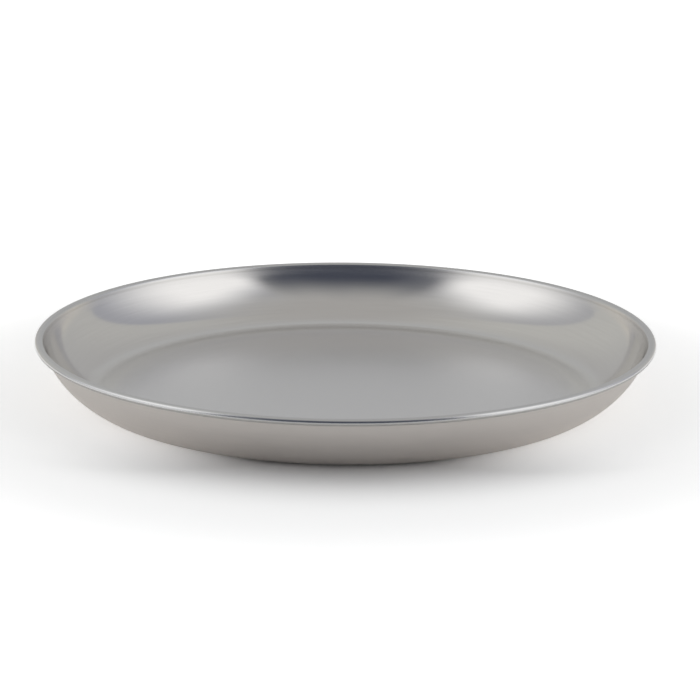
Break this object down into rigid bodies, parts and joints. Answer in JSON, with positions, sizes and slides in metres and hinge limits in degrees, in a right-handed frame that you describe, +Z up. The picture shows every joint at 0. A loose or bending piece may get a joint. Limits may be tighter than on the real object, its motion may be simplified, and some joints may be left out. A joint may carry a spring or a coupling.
{
  "type": "seafood tray",
  "caption": "Round shallow aluminium tray with a flat floor, a curved wall and a narrow rolled rim, for serving seafood on ice at the table.",
  "frame": {"origin": "centre of the flat underside, on the surface that the tray stands on", "axes": "+Z up along the tray's axis; X and Y are alike, because the tray is round"},
  "size_m": [0.406, 0.406, 0.0393],
  "materials": {
    "tray": "satin, finely brushed in circles on the turning lathe"
  },
  "bodies": {
    "root": {"tray": "tray"}
  },
  "joints": []
}
